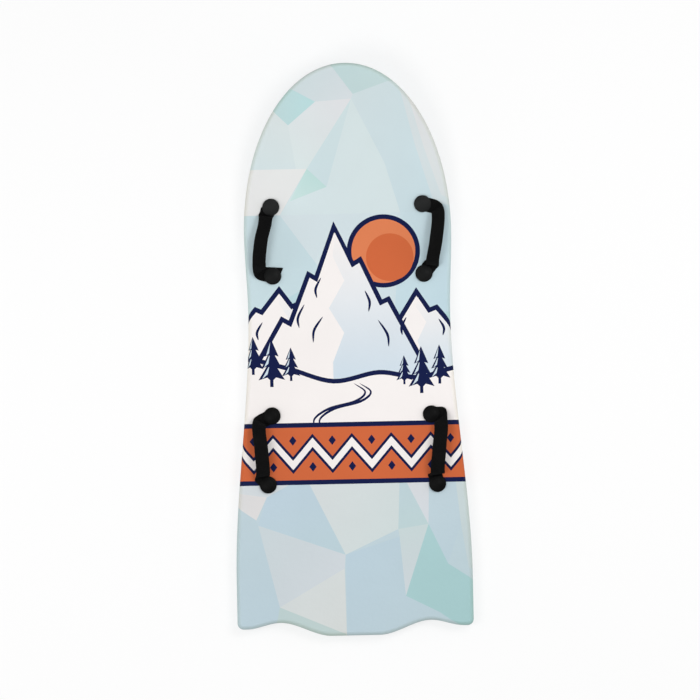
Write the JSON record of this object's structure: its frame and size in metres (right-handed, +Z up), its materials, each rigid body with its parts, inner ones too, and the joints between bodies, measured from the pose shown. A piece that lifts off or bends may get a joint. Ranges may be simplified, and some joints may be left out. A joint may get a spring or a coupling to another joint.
{
  "type": "foam snow sled",
  "caption": "Foam snow sled board with an upturned round nose, a wavy tail, a slick bottom sheet and arched webbing hand straps held by round caps.",
  "frame": {"origin": "on the gliding surface, under the middle of the board's bounding box", "axes": "+Y towards the upturned nose, +X to the right seen from above with the nose away, +Z up out of the deck"},
  "size_m": [0.4138, 1, 0.1022],
  "materials": {
    "printed_film": "satin printed film on foam",
    "white_foam": "matt expanded foam",
    "slick_sheet": "slick polyethylene sheet",
    "black_plastic": "satin moulded plastic",
    "black_webbing": "woven polypropylene webbing"
  },
  "bodies": {
    "board": {"deck_skin": "printed_film", "foam_core": "white_foam", "slick_bottom": "slick_sheet", "front_right_strap_fore_end": "black_webbing", "front_right_strap_aft_end": "black_webbing", "front_right_fore_cap": "black_plastic", "front_right_aft_cap": "black_plastic", "front_right_fore_screw": "black_plastic", "front_right_aft_screw": "black_plastic", "front_left_strap_fore_end": "black_webbing", "front_left_strap_aft_end": "black_webbing", "front_left_fore_cap": "black_plastic", "front_left_aft_cap": "black_plastic", "front_left_fore_screw": "black_plastic", "front_left_aft_screw": "black_plastic", "rear_right_strap_fore_end": "black_webbing", "rear_right_strap_aft_end": "black_webbing", "rear_right_fore_cap": "black_plastic", "rear_right_aft_cap": "black_plastic", "rear_right_fore_screw": "black_plastic", "rear_right_aft_screw": "black_plastic", "rear_left_strap_fore_end": "black_webbing", "rear_left_strap_aft_end": "black_webbing", "rear_left_fore_cap": "black_plastic", "rear_left_aft_cap": "black_plastic", "rear_left_fore_screw": "black_plastic", "rear_left_aft_screw": "black_plastic"},
    "front_right_span": {"front_right_strap": "black_webbing"},
    "front_left_span": {"front_left_strap": "black_webbing"},
    "rear_right_span": {"rear_right_strap": "black_webbing"},
    "rear_left_span": {"rear_left_strap": "black_webbing"}
  },
  "joints": [
    {"name": "front_right_swing", "type": "hinge", "parent": "board", "child": "front_right_span", "pos_m": [0.1371, 0.19239, 0.04577], "axis": [-0.0475, -0.9965, -0.0682], "range_deg": [0, 70]},
    {"name": "front_left_swing", "type": "hinge", "parent": "board", "child": "front_left_span", "pos_m": [-0.1349, 0.19234, 0.04573], "axis": [0.0923, 0.9934, 0.068], "range_deg": [0, 70]},
    {"name": "rear_right_swing", "type": "hinge", "parent": "board", "child": "rear_right_span", "pos_m": [0.13815, -0.1757, 0.0416], "axis": [-0.1278, -0.9918, 0], "range_deg": [0, 70]},
    {"name": "rear_left_swing", "type": "hinge", "parent": "board", "child": "rear_left_span", "pos_m": [-0.1479, -0.17275, 0.0416], "axis": [0.0348, 0.9994, 0], "range_deg": [0, 70]}
  ]
}
